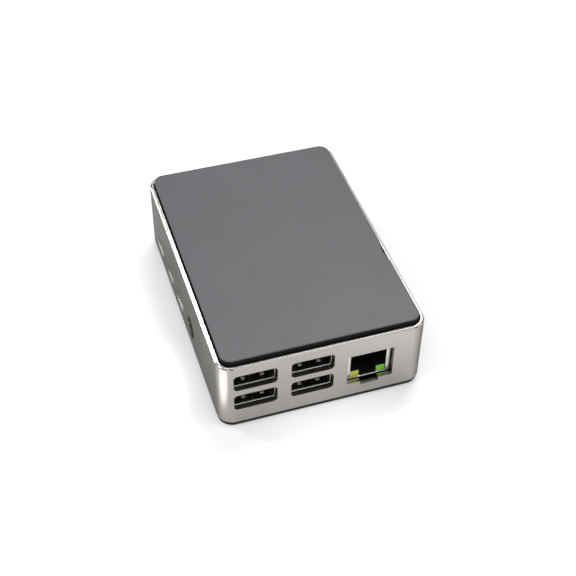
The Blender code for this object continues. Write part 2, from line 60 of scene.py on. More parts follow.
SHEET = 0.3     # thickness of the ports' metal

# Steps in a quarter turn of a corner, and in a whole circle
CORNER_STEPS = 14
SMALL_CORNER_STEPS = 4
CIRCLE_STEPS = 48
BORE_STEPS = 32

# Degrees: where shading breaks, and how sharp an edge must be to get rounded
SHADING_ANGLE = 34
EDGE_ANGLE = 40
STEEP_EDGE_ANGLE = 50
FINE_EDGE = 0.05

# How the rounded edges of a chamfer turn, in parts of their size
BLEND_TURN_IN, BLEND_BELOW, BLEND_ABOVE = 0.15, 0.45, 0.55

# Camera: angles in degrees, lengths in millimetres
CAMERA_AZIMUTH = 18.58
CAMERA_ELEVATION = 44.54
CAMERA_ROLL = 1.0
CAMERA_DISTANCE = 373.75
CAMERA_AIM_HEIGHT = 12.0
CAMERA_ACROSS = 3.09
CAMERA_UP = -3.31
CAMERA_LENS = 70.04
CAMERA_SENSOR = 36.0
CAMERA_NEAR, CAMERA_FAR = 10.0, 20000.0

# Light: lengths in metres
WHITE = (1, 1, 1)
COOL = (0.94, 0.985, 1.0)
SURROUND_LIGHT = 0.35
LIGHT_DISTANCE = 2.0
LIGHT_AIM = Vector((0, 0, 0.012))
FLOOR_LIGHT = 0.14
FLOOR_SIZE = 6.0
BACKDROP_R = 1.35
BACKDROP_LIGHT = (1.01, 1.03)

WIDE = 0.42  # size of the wide soft boxes for each metre of distance

# Each soft box: azimuth and elevation in degrees, size for each metre of distance, brightness, colour
SOFT_BOXES = {
    "back": (36, 58, WIDE, 6.2, WHITE),
    "right": (120, 65, WIDE, 2.8, WHITE),
    "front": (240, 65, WIDE, 2.9, WHITE),
    "left": (-90, 32, WIDE, 4.0, COOL),
    "front_fill": (165, 32, WIDE, 1.2, WHITE),
    "front_left_fill": (210, 32, WIDE, 1.2, WHITE),
    "right_fill": (120, 32, WIDE, 1.0, WHITE),
    "low_right_fill": (110, 8, WIDE, 1.1, WHITE),
    "rim": (12, 46, 0.09, 18.0, WHITE),
    "rim_right": (29, 46, 0.09, 3.0, WHITE),
    "left_high": (-48, 34, 0.18, 13.0, COOL),
    "left_low": (-46, 14, 0.20, 14.0, COOL),
}

# Each painted pool of light on the floor: x, y and radius in millimetres, and the brightness that its core
# adds
PAINTED_LIGHT_POOLS = ((-62, -20, 30, 0.50), (-51, -52, 15, 3.4), (35, -85, 35, 0.46), (0, -66, 34, 0.15))
POOL_CORE = 0.3  # the core's part of the radius

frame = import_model()


def span(node):
    """Lowest and highest corner of a CAD node, in millimetres."""
    low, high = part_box(node)
    return low / MM, high / MM


def middle(node):
    low, high = span(node)
    return (low + high) / 2


def around(centre, width):
    """Range of a width about its centre."""
    return centre - width / 2, centre + width / 2


def beyond(start, near, far):
    """Range that lies from near to far beyond a start."""
    return start + near, start + far


def in_row(count, pitch, centre):
    """Evenly spaced places about a centre."""
    return [centre + (i - (count - 1) / 2) * pitch for i in range(count)]


# ---------------------------------------------------------------- shapes

def rectangle(width, height, centre=(0.0, 0.0)):
    cx, cy = centre
    return [(cx + sx * width / 2, cy + sy * height / 2)
            for sx, sy in ((-1, -1), (1, -1), (1, 1), (-1, 1))]


def rounded(width, height, radius, centre=(0.0, 0.0), steps=CORNER_STEPS):
    """Rectangle with round corners."""
    points = []
    for quarter, (sx, sy) in enumerate(((1, 1), (-1, 1), (-1, -1), (1, -1))):
        cx = centre[0] + sx * (width / 2 - radius)
        cy = centre[1] + sy * (height / 2 - radius)
        for step in range(steps + 1):
            angle = math.pi / 2 * (quarter + step / steps)
            points.append((cx + radius * math.cos(angle), cy + radius * math.sin(angle)))
    return points


def circle(radius, centre=(0.0, 0.0), steps=CIRCLE_STEPS):
    turn = 2 * math.pi / steps
    return [(centre[0] + radius * math.cos(i * turn), centre[1] + radius * math.sin(i * turn))
            for i in range(steps)]


def quarter_arc(steps=4):
    """(sine, 1 - cosine) pairs of a quarter turn, for rounding an edge."""
    return [(math.sin(math.pi / 2 * i / steps), 1 - math.cos(math.pi / 2 * i / steps))
            for i in range(steps + 1)]


def chamfer_profile(size, blend):
    """(inset, drop) pairs of a chamfer whose two edges are slightly rounded, from below to above."""
    slope = blend * math.sqrt(0.5)
    turn_in, half = slope * BLEND_TURN_IN, slope / 2
    return [(0, size + blend), (turn_in, size + blend * BLEND_BELOW), (half, size), (slope, size - slope),
            (size - slope, slope), (size, half), (size + blend * BLEND_ABOVE, turn_in), (size + blend, 0)]


def object_from(bm, name="solid"):
    mesh = bpy.data.meshes.new(name)
    bm.to_mesh(mesh)
    bm.free()
    obj = bpy.data.objects.new(name, mesh)
    bpy.context.scene.collection.objects.link(obj)
    return obj


# Turns an outline's point (a, b) at a height h into x, y, z, for a solid that runs along an axis
AXES = {
    "X": lambda a, b, h: (h, a, b),
    "Y": lambda a, b, h: (a, h, b),
    "Z": lambda a, b, h: (a, b, h),
}


def skin(bm, loops):
    """Closed surface through loops of equal length, flat at both ends."""
    count = len(loops[0])
    for low, high in zip(loops, loops[1:]):
        for i in range(count):
            j = (i + 1) % count
            bm.faces.new((low[i], low[j], high[j], high[i]))
    bm.faces.new(loops[0])
    bm.faces.new(loops[-1])
    bmesh.ops.recalc_face_normals(bm, faces=bm.faces)
    return object_from(bm)


def loft(levels, along="Z"):
    """Closed solid through outlines of equal length, each given with its height."""
    to_xyz = AXES[along]
    bm = bmesh.new()
    loops = [[bm.verts.new([MM * c for c in to_xyz(a, b, height)]) for a, b in outline]
             for outline, height in levels]
    return skin(bm, loops)


def prism(outline, start, end, along="Z"):
    return loft([(outline, start), (outline, end)], along)


def cylinders(radius, places, start, end, steps=CIRCLE_STEPS):
    """Upright cylinders, one at each place."""
    return [prism(circle(radius, at, steps), start, end) for at in places]


def box(x, y, z):
    outline = rectangle(x[1] - x[0], y[1] - y[0], ((x[0] + x[1]) / 2, (y[0] + y[1]) / 2))
    return prism(outline, z[0], z[1])


def strip(path, width, thickness, x):
    """A bent sheet strip: a path of (y, z) points, thickened downwards and across X."""
    bm = bmesh.new()
    rows = []
    for i, point in enumerate(path):
        before, after = Vector(path[max(i - 1, 0)]), Vector(path[min(i + 1, len(path) - 1)])
        run = (after - before).normalized()
        down = Vector((run.y, -run.x)) * thickness
        if down.y > 0:
            down = -down
        corners = [(x - width / 2, point), (x + width / 2, point),
                   (x + width / 2, Vector(point) + down), (x - width / 2, Vector(point) + down)]
        rows.append([bm.verts.new((MM * cx, MM * p[0], MM * p[1])) for cx, p in corners])
    return skin(bm, rows)


def apply_modifiers(obj):
    """Keep the shape that the modifiers make, and drop the modifiers."""
    view = bpy.context.evaluated_depsgraph_get()
    mesh = bpy.data.meshes.new_from_object(obj.evaluated_get(view))
    obj.modifiers.clear()
    obj.data = mesh
    return obj


def boolean(body, tools, operation):
    for tool in tools:
        step = body.modifiers.new(operation, "BOOLEAN")
        step.object = tool
        step.operation = operation
        step.solver = "EXACT"
    apply_modifiers(body)
    for tool in tools:
        bpy.data.objects.remove(tool, do_unlink=True)
    return body


def join(body, *tools):
    return boolean(body, tools, "UNION")


def cut(body, *tools):
    return boolean(body, tools, "DIFFERENCE")


def gather(objects):
    """Put several closed solids in one object without joining their surfaces."""
    bm = bmesh.new()
    for obj in objects:
        bm.from_mesh(obj.data)
        bpy.data.objects.remove(obj, do_unlink=True)
    return object_from(bm)


def soften(obj, width, segments=2, angle=EDGE_ANGLE):
    """Round every edge that is sharper than the angle."""
    step = obj.modifiers.new("soften", "BEVEL")
    step.width = width * MM
    step.segments = segments
    step.limit_method = "ANGLE"
    step.angle_limit = math.radians(angle)
    step.use_clamp_overlap = True
    return apply_modifiers(obj)


def place(obj, name, mats, body="case", stands_for=()):
    """Name a finished piece, shade and paint it, and let it ride on its body."""
    obj.data.materials.clear()
    for mat in mats:
        obj.data.materials.append(mat)
    obj.data.shade_smooth()
    obj.data.set_sharp_from_angle(angle=math.radians(SHADING_ANGLE))
    step = obj.modifiers.new("flat faces stay flat", "WEIGHTED_NORMAL")
    step.keep_sharp = True
    apply_modifiers(obj)
    obj.name = name
    obj.data.name = name
    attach(obj, body)
    if stands_for:
        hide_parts(*stands_for)


# ---------------------------------------------------------------- materials

BLUE_CAST = 1.03  # blue of a dark material for each part of its red and green


class Paint:
    """A Principled material and short ways to add procedural detail to it."""

    def __init__(self, name, colour, roughness, metallic=0.0, **sockets):
        self.mat = bpy.data.materials.new(name)
        self.mat.use_nodes = True
        self.tree = self.mat.node_tree
        self.shader = self.tree.nodes["Principled BSDF"]
        self.colour = colour
        self.roughness = roughness
        self.shader.inputs["Base Color"].default_value = (*colour, 1.0)
        self.shader.inputs["Roughness"].default_value = roughness
        self.shader.inputs["Metallic"].default_value = metallic
        for socket, value in sockets.items():
            self.shader.inputs[socket.replace("_", " ")].default_value = value
        self.coords = self.tree.nodes.new("ShaderNodeTexCoord").outputs["Object"]

    def noise(self, size_mm, detail=3.0, stretch=(1, 1, 1)):
        """Noise whose features are about size_mm across; a stretch below 1 draws them out."""
        mapping = self.tree.nodes.new("ShaderNodeMapping")
        mapping.inputs["Scale"].default_value = [s / (size_mm * MM) for s in stretch]
        texture = self.tree.nodes.new("ShaderNodeTexNoise")
        texture.inputs["Scale"].default_value = 1.0
        texture.inputs["Detail"].default_value = detail
        self.tree.links.new(self.coords, mapping.inputs["Vector"])
        self.tree.links.new(mapping.outputs["Vector"], texture.inputs["Vector"])
        return texture.outputs["Fac"]

    def spread(self, factor, low, high, start=0.3, end=0.7):
        """Map start..end, by default a noise's middle range, to low..high."""
        node = self.tree.nodes.new("ShaderNodeMapRange")
        for socket, value in (("From Min", start), ("From Max", end), ("To Min", low), ("To Max", high)):
            node.inputs[socket].default_value = value
        self.tree.links.new(factor, node.inputs["Value"])
        return node.outputs["Result"]

    def tint(self, factor, amount):
        """Lighten and darken the colour by up to amount."""
        mix = self.tree.nodes.new("ShaderNodeMix")
        mix.data_type = "RGBA"
        mix.inputs["A"].default_value = [c * (1 - amount) for c in self.colour] + [1]
        mix.inputs["B"].default_value = [min(c * (1 + amount), 1) for c in self.colour] + [1]
        self.tree.links.new(self.spread(factor, 0, 1), mix.inputs["Factor"])
        self.tree.links.new(mix.outputs["Result"], self.shader.inputs["Base Color"])

    def rough(self, factor, amount):
        """Vary the roughness by up to amount."""
        low, high = self.roughness - amount, self.roughness + amount
        self.tree.links.new(self.spread(factor, low, high), self.shader.inputs["Roughness"])

    def bump(self, factor, height_mm, strength):
        node = self.tree.nodes.new("ShaderNodeBump")
        node.inputs["Distance"].default_value = height_mm * MM
        node.inputs["Strength"].default_value = strength
        self.tree.links.new(factor, node.inputs["Height"])
        self.tree.links.new(node.outputs["Normal"], self.shader.inputs["Normal"])

    def glow(self, colour, strength):
        self.shader.inputs["Emission Color"].default_value = (*colour, 1)
        self.shader.inputs["Emission Strength"].default_value = strength


def aluminium():
    """Finely blasted metal that reflects less at a grazing angle than bare metal does."""
    paint = Paint("blasted_aluminium", (0.398, 0.378, 0.354), roughness=0.28, metallic=1.0,
                  Specular_Tint=(0.3, 0.3, 0.3, 1.0))
    paint.tint(paint.noise(size_mm=14, detail=2), amount=0.03)
    paint.rough(paint.noise(size_mm=7, detail=2), amount=0.012)
    paint.bump(paint.noise(size_mm=0.25, detail=2), height_mm=0.0004, strength=0.3)
    return paint.mat


def cut_edge():
    """The bright, machined edge of the case's rim."""
    paint = Paint("machined_edge", (0.42, 0.40, 0.38), roughness=0.22, metallic=1.0)
    paint.tint(paint.noise(size_mm=5, detail=2), amount=0.03)
    paint.rough(paint.noise(size_mm=9, detail=2), amount=0.015)
    paint.bump(paint.noise(size_mm=0.4, detail=2), height_mm=0.0004, strength=0.3)
    return paint.mat


def lid_top_with_painted_sheen():
    """The lid's smooth, dark top, in a grey much lighter than the sides' black: a painted sheen."""
    paint = Paint("soft_touch_top", (0.078, 0.078, 0.086), roughness=0.42, Specular_IOR_Level=0.5)
    paint.tint(paint.noise(size_mm=25, detail=3), amount=0.05)
    paint.rough(paint.noise(size_mm=1.2, detail=4), amount=0.04)
    paint.bump(paint.noise(size_mm=0.16, detail=2), height_mm=0.006, strength=0.4)
    return paint.mat


def dark_plastic(name, level, roughness, specular=0.3):
    """Dull material in a grey or near-black of the given level, slightly blue."""
    paint = Paint(name, (level, level, level * BLUE_CAST), roughness, Specular_IOR_Level=specular)
    paint.tint(paint.noise(size_mm=6, detail=3), amount=0.12)
    paint.rough(paint.noise(size_mm=0.8, detail=3), amount=0.05)
    paint.bump(paint.noise(size_mm=0.2, detail=2), height_mm=0.005, strength=0.4)
    return paint.mat


def plated(name, colour, roughness, streak=(1, 1, 1)):
    """Thin metal whose fine unevenness may be drawn out along an axis."""
    paint = Paint(name, colour, roughness, metallic=1.0)
    paint.tint(paint.noise(size_mm=2.5, detail=3), amount=0.06)
    paint.rough(paint.noise(size_mm=0.8, detail=4, stretch=streak), amount=0.06)
    paint.bump(paint.noise(size_mm=0.9, detail=3, stretch=streak), height_mm=0.003, strength=0.4)
    return paint.mat


def light_plastic(name, colour, glow):
    """A small lamp that is lit."""
    paint = Paint(name, colour, roughness=0.35, Coat_Weight=0.2)
    paint.glow(colour, glow)
    paint.tint(paint.noise(size_mm=1.2, detail=2), amount=0.12)
    paint.rough(paint.noise(size_mm=0.6, detail=2), amount=0.06)
    return paint.mat


def cream_plastic():
    paint = Paint("cream_plastic", (0.60, 0.55, 0.44), roughness=0.5)
    paint.tint(paint.noise(size_mm=3), amount=0.06)
    paint.rough(paint.noise(size_mm=0.7), amount=0.05)
    paint.bump(paint.noise(size_mm=0.2), height_mm=0.004, strength=0.4)
    return paint.mat


def laminate():
    """Green lacquer over copper tracks."""
    paint = Paint("board_lacquer", (0.012, 0.13, 0.045), roughness=0.32, Coat_Weight=0.3)
    paint.tint(paint.noise(size_mm=0.9, detail=1, stretch=(1, 0.12, 1)), amount=0.35)
    paint.rough(paint.noise(size_mm=0.6, detail=3), amount=0.05)
    paint.bump(paint.noise(size_mm=0.8, detail=1, stretch=(0.12, 1, 1)), height_mm=0.02, strength=0.4)
    return paint.mat


ALUMINIUM = aluminium()
EDGE = cut_edge()
LID_TOP = lid_top_with_painted_sheen()
# The lid's sides: a much darker black than its top, painted shade by which way the faces point
LID_SIDE = dark_plastic("lid_side", 0.010, roughness=0.60, specular=0.10)
BASE = dark_plastic("base_rubber", 0.022, roughness=0.65, specular=0.15)
MOULDED = dark_plastic("moulded_black", 0.010, roughness=0.38)
CHIP = dark_plastic("chip_epoxy", 0.018, roughness=0.45)
CREAM = cream_plastic()
STEEL = plated("plated_steel", (0.62, 0.61, 0.58), roughness=0.24, streak=(1, 0.15, 1))
SPRING = plated("spring_steel", (0.42, 0.42, 0.40), roughness=0.28)
GOLD = plated("gold_contact", (0.85, 0.62, 0.28), roughness=0.22)
SCREW = plated("blackened_screw", (0.055, 0.055, 0.06), roughness=0.38)
FERRITE = dark_plastic("ferrite", 0.085, roughness=0.6)
PAD = dark_plastic("silicone_pad", 0.26, roughness=0.8)
YELLOW = light_plastic("yellow_light", (0.42, 0.42, 0.02), glow=0.18)
GREEN = light_plastic("green_light", (0.12, 0.40, 0.02), glow=0.25)
RED = light_plastic("red_light", (0.60, 0.04, 0.03), glow=0.15)
BOARD = laminate()
CARD = dark_plastic("card_plastic", 0.014, roughness=0.42)


# ---------------------------------------------------------------- case

CASE_LOW, CASE_HIGH = span("case_body")
CASE_W, CASE_L = CASE_HIGH.x - CASE_LOW.x, CASE_HIGH.y - CASE_LOW.y
CASE_CORNER, CASE_EDGE = 5.0, 0.10
WALL, CAVITY_CORNER = 1.5, 3.5
FOOT_CHAMFER = 0.2
RIM_CHAMFER, RIM_BLEND, RIM_WIDTH, RIM_INNER_ROUND = 0.52, 0.10, 1.28, 0.12
RIM_FACES_UP = 0.1  # least upward part of the normal of a face with the bright edge's metal
CEILING, RECESS_FLOOR = 22.95, 24.35

POST_R, POST_FOOT = 3.0, 6.9
POST_BORE_R, POST_BORE_TOP = 1.45, 15.0
HEAT_POST, HEAT_POST_CORNER, HEAT_POST_GAP = 17.0, 1.5, 0.3

LID_GAP, LID_ROUND = 0.3, 0.45
LID_POCKET_MARGIN, LID_POCKET_DEPTH = 1.5, 1.6
LID_FACES_UP, LID_TOP_DEPTH = 0.6, 1.0
PEG_R, PEG_HOLE_R, PEG_ROOT = 1.6, 1.95, 0.5
PEG_PLACES = [(sx * 14.0, sy * 38.0) for sx in SIDES for sy in SIDES]
NOTCH_LENGTH, NOTCH_DEPTH, NOTCH_Y, NOTCH_STEPS = 10.4, 0.9, -13.7, 160

BASE_ROUND, BASE_EDGE = 0.4, 0.12
BASE_THICK, PLATEAU_TOP, PLATEAU_GAP = 1.45, 2.6, 0.3
STANDOFF_R = 3.2
BASE_BORE_R, COUNTERBORE_R, COUNTERBORE_TOP = 1.5, 2.95, 2.05
RIBBON_W, RIBBON_L, RIBBON_CORNER = 2.4, 53.0, 1.19
BASE_CUT = (-1.0, 5.0)  # heights between which a cutter goes right through the base

SCREWS = [node for node in frame["nodes"] if node.startswith("case_screw")]
SCREW_PLACES = [(middle(node).x, middle(node).y) for node in SCREWS]
SCREW_HEAD_H, SCREW_HEAD_ROUND = 1.4, 0.35
SCREW_SHAFT_R, SCREW_TIP_R, SCREW_TIP_L = 1.15, 0.75, 0.4
CROSS_L, CROSS_W, CROSS_DEPTH = 2.8, 0.62, 1.0
CROSS_TAPER, CROSS_LEAST, CROSS_PROUD = 1.4, 0.3, 0.1

CARD_NOTCH_X = around(middle("memory_card").x, 15.0)
CARD_NOTCH_TOP, CARD_NOTCH_Y = 5.6, 42.0


def case_outline(inset):
    return rounded(CASE_W - 2 * inset, CASE_L - 2 * inset, CASE_CORNER - inset)


def inner_posts():
    """The heat post over the processor and the four screw posts, rooted in the web under the lid."""
    root = (CEILING + RECESS_FLOOR) / 2
    pad = middle("thermal_pad")
    pad_top = span("thermal_pad")[1].z
    heat_outline = rounded(HEAT_POST, HEAT_POST, HEAT_POST_CORNER, (pad.x, pad.y), steps=5)
    heat = prism(heat_outline, pad_top + HEAT_POST_GAP, root)
    return [heat, *cylinders(POST_R, SCREW_PLACES, POST_FOOT, root)]


def case_shell():
    """Walls with a chamfered rim, and a web under the lid; the rim's top and chamfer are cut bright."""
    top, bottom = CASE_HIGH.z, CASE_LOW.z
    cavity = rounded(CASE_W - 2 * WALL, CASE_L - 2 * WALL, CAVITY_CORNER)
    levels = [(cavity, CEILING), (cavity, bottom),
              (case_outline(FOOT_CHAMFER), bottom), (case_outline(0), bottom + FOOT_CHAMFER)]
    for inset, drop in chamfer_profile(RIM_CHAMFER, RIM_BLEND):
        levels.append((case_outline(inset), top - drop))
    for along, across in quarter_arc(steps=3):
        inset = RIM_WIDTH - RIM_INNER_ROUND * (1 - along)
        levels.append((case_outline(inset), top - RIM_INNER_ROUND * across))
    levels.append((case_outline(RIM_WIDTH), RECESS_FLOOR))
    body = join(loft(levels), *inner_posts())
    bores = cylinders(POST_BORE_R, SCREW_PLACES, POST_FOOT - CUT_PAST, POST_BORE_TOP, BORE_STEPS)
    peg_holes = cylinders(PEG_HOLE_R, PEG_PLACES, CEILING - CUT_PAST, RECESS_FLOOR + CUT_PAST, BORE_STEPS)
    cut(body, *bores, *peg_holes, *port_cutters())
    soften(body, CASE_EDGE, angle=STEEP_EDGE_ANGLE)
    place(body, "case_shell", [ALUMINIUM, EDGE], "case", ["case_body"])
    edge_from = (top - RIM_CHAMFER - RIM_BLEND / 2) * MM
    for face in body.data.polygons:
        on_rim = face.center.z > edge_from and face.normal.z > RIM_FACES_UP
        face.material_index = 1 if on_rim else 0


def lid_plate():
    """Plate with a rounded top edge, a pocket below, four pegs and a shallow pry notch."""
    low, high = span("lid")
    inset = (CASE_W - (high.x - low.x)) / 2
    bottom = RECESS_FLOOR + LID_GAP
    pocket_top = bottom + LID_POCKET_DEPTH
    pocket = case_outline(inset + LID_POCKET_MARGIN)
    levels = [(pocket, pocket_top), (pocket, bottom), (case_outline(inset), bottom)]
    for along, across in quarter_arc(steps=6):
        levels.append((case_outline(inset + LID_ROUND * across), high.z - LID_ROUND * (1 - along)))
    body = join(loft(levels), *cylinders(PEG_R, PEG_PLACES, low.z, pocket_top + PEG_ROOT, BORE_STEPS))
    radius = (NOTCH_LENGTH ** 2 / 4 + NOTCH_DEPTH ** 2) / (2 * NOTCH_DEPTH)
    notch = circle(radius, (high.x - NOTCH_DEPTH + radius, NOTCH_Y), NOTCH_STEPS)
    cut(body, prism(notch, bottom - CUT_PAST, high.z + CUT_PAST))
    place(body, "lid_plate", [LID_TOP, LID_SIDE], "lid", ["lid"])
    # Up-facing top faces take the lighter paint (painted sheen), all other faces the darker one (painted
    # shade)
    for face in body.data.polygons:
        on_top = face.normal.z > LID_FACES_UP and face.center.z > (high.z - LID_TOP_DEPTH) * MM
        face.material_index = 0 if on_top else 1


def base_tray():
    """Cover with a raised middle, stand-offs, counterbores, a ribbon slot and the card notch."""
    low, high = span("base_cover")
    inset = (CASE_W - (high.x - low.x)) / 2
    margin = WALL + PLATEAU_GAP
    plateau = rounded(CASE_W - 2 * margin, CASE_L - 2 * margin, CAVITY_CORNER - PLATEAU_GAP)
    levels = [(case_outline(inset + BASE_ROUND * (1 - along)), BASE_ROUND * across)
              for along, across in quarter_arc()]
    levels += [(case_outline(inset), BASE_THICK), (plateau, BASE_THICK), (plateau, PLATEAU_TOP)]
    body = join(loft(levels), *cylinders(STANDOFF_R, SCREW_PLACES, BASE_THICK, high.z))
    bores = cylinders(BASE_BORE_R, SCREW_PLACES, BASE_CUT[0], high.z + CUT_PAST, BORE_STEPS)
    counterbores = cylinders(COUNTERBORE_R, SCREW_PLACES, BASE_CUT[0], COUNTERBORE_TOP)
    card_notch = box(CARD_NOTCH_X, (CARD_NOTCH_Y, CASE_L), BASE_CUT)
    ribbon_x = (span("main_board")[1].x + CASE_HIGH.x - WALL) / 2
    ribbon_at = (ribbon_x, middle("pin_header").y)
    ribbon_slot = prism(rounded(RIBBON_W, RIBBON_L, RIBBON_CORNER, ribbon_at, steps=6), *BASE_CUT)
    cut(body, *bores, *counterbores, card_notch, ribbon_slot)
    soften(body, BASE_EDGE, angle=STEEP_EDGE_ANGLE)
    place(body, "base_tray", [BASE], "case", ["base_cover"])


def screw_cross(at, bottom):
    """Two crossed slots that narrow inwards."""
    slots = []
    for wide, deep in ((CROSS_L, CROSS_W), (CROSS_W, CROSS_L)):
        narrow = [max(side - CROSS_TAPER, CROSS_LEAST) for side in (wide, deep)]
        slots.append(loft([(rectangle(wide, deep, at), bottom - CROSS_PROUD),
                           (rectangle(*narrow, at), bottom + CROSS_DEPTH)]))
    return slots


def screws():
    """Pan heads that face down, with a crossed recess."""
    for node, at in zip(SCREWS, SCREW_PLACES):
        low, high = span(node)
        head_r, head_top = (high.x - low.x) / 2, low.z + SCREW_HEAD_H
        levels = [(circle(head_r - SCREW_HEAD_ROUND * (1 - along), at), low.z + SCREW_HEAD_ROUND * across)
                  for along, across in quarter_arc()]
        levels += [(circle(head_r, at), head_top), (circle(SCREW_SHAFT_R, at), head_top),
                   (circle(SCREW_SHAFT_R, at), high.z - SCREW_TIP_L), (circle(SCREW_TIP_R, at), high.z)]
        screw = cut(loft(levels), *screw_cross(at, low.z))
        place(screw, "screw_" + node.replace("case_screw_", ""), [SCREW], "case", [node])


# ---------------------------------------------------------------- holes in the case for the ports

USB_CENTRES_Z = (10.77, 19.39)
USB_HOLE_W, USB_HOLE_H, USB_HOLE_CORNER = 13.64, 6.4, 1.3
NET_HOLE_W, NET_HOLE_Z = 14.96, (7.11, 19.39)
NET_NOTCH_W, NET_NOTCH_BOTTOM = 5.9, 5.7
USBC_HOLE = (10.2, 4.2, 2.0)  # width, height, corner
VIDEO_HOLE = (7.9, 4.0, 1.0)
SILL_DEPTH, SILL_CORNER_PART = 0.75, 0.6
SILL_PROUD, SILL_LAP = 0.1, 0.4
AUDIO_HOLE_R, AUDIO_BARREL_R = 3.7, 2.9


def audio_axis():
    """(y, z) of the round jack: its barrel reaches up to the top of the CAD solid."""
    return middle("audio_jack").y, span("audio_jack")[1].z - AUDIO_BARREL_R


def front_cutters():
    """Holes for the stacked data ports and for the network jack with its latch."""
    through = (CASE_LOW.y - CUT_PAST, CASE_LOW.y + WALL + CUT_PAST)
    cutters = []
    for side in ("left", "middle"):
        x = middle("usb_shell_" + side).x
        for z in USB_CENTRES_Z:
            hole = rounded(USB_HOLE_W, USB_HOLE_H, USB_HOLE_CORNER, (x, z), steps=8)
            cutters.append(prism(hole, *through, "Y"))
    net_x = middle("network_shell").x
    cutters.append(box(around(net_x, NET_HOLE_W), through, NET_HOLE_Z))
    cutters.append(box(around(net_x, NET_NOTCH_W), through, (NET_NOTCH_BOTTOM, NET_HOLE_Z[0] + CUT_PAST)))
    return cutters


def port_cutters():
    """Holes for all ports; those of the flat ports on the long side have a sloped sill below."""
    through = (CASE_LOW.x - CUT_PAST, CASE_LOW.x + WALL + CUT_PAST)
    cutters = front_cutters()
    flat_ports = (("usbc_shell", USBC_HOLE), ("video_shell_1", VIDEO_HOLE), ("video_shell_2", VIDEO_HOLE))
    for node, hole in flat_ports:
        width, height, corner = hole
        port = middle(node)
        cutters.append(prism(rounded(*hole, (port.y, port.z), steps=10), *through, "X"))
        outside, hole_bottom = CASE_LOW.x - SILL_PROUD, port.z - height / 2
        slope = [(outside, hole_bottom - SILL_DEPTH), (outside, hole_bottom + SILL_LAP),
                 (CASE_LOW.x + SILL_DEPTH, hole_bottom + SILL_LAP)]
        sill_y = around(port.y, width - 2 * corner * SILL_CORNER_PART)
        cutters.append(prism(slope, *sill_y, "Y"))
    cutters.append(prism(circle(AUDIO_HOLE_R, audio_axis()), *through, "X"))
    back = (CASE_HIGH.y - WALL - CUT_PAST, CASE_HIGH.y + CUT_PAST)
    cutters.append(box(CARD_NOTCH_X, back, (CASE_LOW.z - CUT_PAST, CARD_NOTCH_TOP)))
    return cutters


# ---------------------------------------------------------------- stacked data ports

USB_CORNER = 0.45
USB_MOUTH_W, USB_MOUTH_H = 12.5, 5.6
USB_FLARE, USB_FLARE_CORNER, USB_FLARE_DEPTH, USB_FLARE_PROUD = 0.22, 0.6, 0.55, 0.5
USB_LIP, USB_STEP_DEPTH = 0.32, 1.6

# Springs in a port's floor. Depths are measured from the front, heights from the floor
USB_SPRING_X = (-3.0, 3.0)
USB_WINDOW_W, USB_WINDOW_Y, USB_WINDOW_Z = 2.2, (1.2, 9.0), (-0.8, 1.0)
USB_SPRING_W, USB_SPRING_THICK = 1.25, 0.2
USB_SPRING_PATH = ((8.8, -0.25), (6.5, 0.1), (4.2, 0.62), (3.2, 0.75), (2.5, 0.62), (1.7, 0.1))

# Tongue and contacts. Depths are measured from the front, the contacts' heights from the tongue's bottom
USB_TONGUE_W, USB_TONGUE_THICK, USB_TONGUE_EDGE = 11.1, 1.84, 0.18
USB_TONGUE_FRONT, USB_TONGUE_BACK, USB_TONGUE_ABOVE = 2.1, 4.0, 0.55
USB_CONTACT_X, USB_CONTACT_W = (-3.5, -1.0, 1.0, 3.5), 1.0
USB_CONTACT_Y, USB_CONTACT_Z = (3.6, 11.0), (-0.06, 0.2)

# Block at the back: its width, its depths from the shell's back, its margins to the shell's bottom and top
USB_BLOCK_W, USB_BLOCK_Y = 11.9, (-4.4, -0.6)
USB_BLOCK_BELOW, USB_BLOCK_ABOVE = 1.4, 0.7


def usb_mouth(x, z, front, back):
    """Cutter for one port of a shell: its mouth flares towards the front."""

    def outline(grow, corner):
        return rounded(USB_MOUTH_W + grow, USB_MOUTH_H + grow, corner, (x, z), SMALL_CORNER_STEPS)

    levels = [(outline(2 * USB_FLARE, USB_FLARE_CORNER), front - USB_FLARE_PROUD)]
    for along, across in quarter_arc():
        levels.append((outline(2 * USB_FLARE * (1 - along), USB_CORNER), front + USB_FLARE_DEPTH * across))
    levels.append((outline(0, USB_CORNER), back - SHEET))
    return loft(levels, "Y")


def usb_spring(x, front, floor):
    """Leaf that bulges up through a window in the port's floor."""
    path = [(front + depth, floor + height) for depth, height in USB_SPRING_PATH]
    return soften(strip(path, USB_SPRING_W, USB_SPRING_THICK, x), FINE_EDGE, segments=1)


